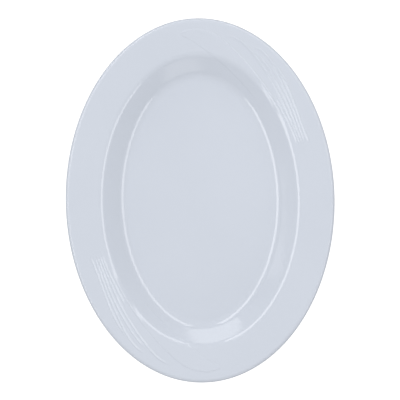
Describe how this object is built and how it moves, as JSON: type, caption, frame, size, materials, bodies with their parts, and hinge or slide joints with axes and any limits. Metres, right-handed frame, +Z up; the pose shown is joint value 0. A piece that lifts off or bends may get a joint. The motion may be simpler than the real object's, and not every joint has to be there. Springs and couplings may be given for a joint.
{
  "type": "oval serving platter",
  "caption": "Oval glazed china serving platter with a broad rim, a sloping well, a foot ring and a moulded swirl of fine lines at opposite quarters of the rim.",
  "frame": {"origin": "centre of the foot ring's bearing plane, at the middle of the bottom of the platter", "axes": "+X along the platter's length, +Y across its width, +Z up out of the well"},
  "size_m": [0.336, 0.248, 0.028],
  "materials": {
    "bisque": "matte",
    "glaze": "gloss"
  },
  "bodies": {
    "root": {"china_body": "bisque", "face_glaze": "glaze", "foot_well_glaze": "glaze"}
  },
  "joints": []
}
